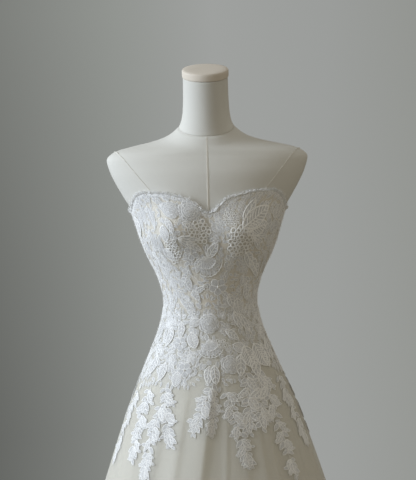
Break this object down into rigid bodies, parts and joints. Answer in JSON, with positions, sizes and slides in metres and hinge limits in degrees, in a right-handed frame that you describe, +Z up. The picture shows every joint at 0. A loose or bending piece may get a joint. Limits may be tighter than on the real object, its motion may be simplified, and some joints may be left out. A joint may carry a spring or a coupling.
{
  "type": "wedding dress on dress form",
  "caption": "Strapless floor-length wedding dress with a sweetheart lace bodice and a flared tulle skirt over satin, worn by a limbless dress form on a round foot.",
  "frame": {"origin": "centre of the stand's flat foot, on the floor", "axes": "+Z up along the pole, the front of the dress faces -Y, +X is the wearer's left"},
  "size_m": [0.9018, 0.8616, 1.5661],
  "materials": {
    "bodice_satin": "satin",
    "skirt_satin": "satin",
    "soft_tulle": "matte",
    "corded_lace": "matte",
    "form_jersey": "matte",
    "cap_cloth": "matte",
    "zip_nylon": "matte",
    "zip_metal": "satin",
    "stand_steel": "brushed"
  },
  "bodies": {
    "gown_and_form": {"bodice_centre_front": "bodice_satin", "bodice_side_front_left": "bodice_satin", "bodice_side_front_right": "bodice_satin", "bodice_back_left": "bodice_satin", "bodice_back_right": "bodice_satin", "skirt_satin_front": "skirt_satin", "skirt_satin_back_left": "skirt_satin", "skirt_satin_back_right": "skirt_satin", "skirt_tulle_front": "soft_tulle", "skirt_tulle_back_left": "soft_tulle", "skirt_tulle_back_right": "soft_tulle", "bodice_lace_front": "corded_lace", "bodice_lace_back_left": "corded_lace", "bodice_lace_back_right": "corded_lace", "skirt_lace_front": "corded_lace", "skirt_lace_back_left": "corded_lace", "skirt_lace_back_right": "corded_lace", "dress_form_torso": "form_jersey", "dress_form_arm_plate_left": "form_jersey", "dress_form_arm_plate_right": "form_jersey", "dress_form_neck": "form_jersey", "dress_form_cap": "cap_cloth", "zip_chain": "zip_nylon", "zip_slider": "zip_metal", "stand_pole": "stand_steel", "stand_base": "stand_steel"},
    "zip_pull": {"zip_pull_tab": "zip_metal"}
  },
  "joints": [
    {"name": "pull_tab_hinge", "type": "hinge", "parent": "gown_and_form", "child": "zip_pull", "pos_m": [0, 0.10136, 1.252], "axis": [1, 0, 0], "range_deg": [0, 165]}
  ]
}
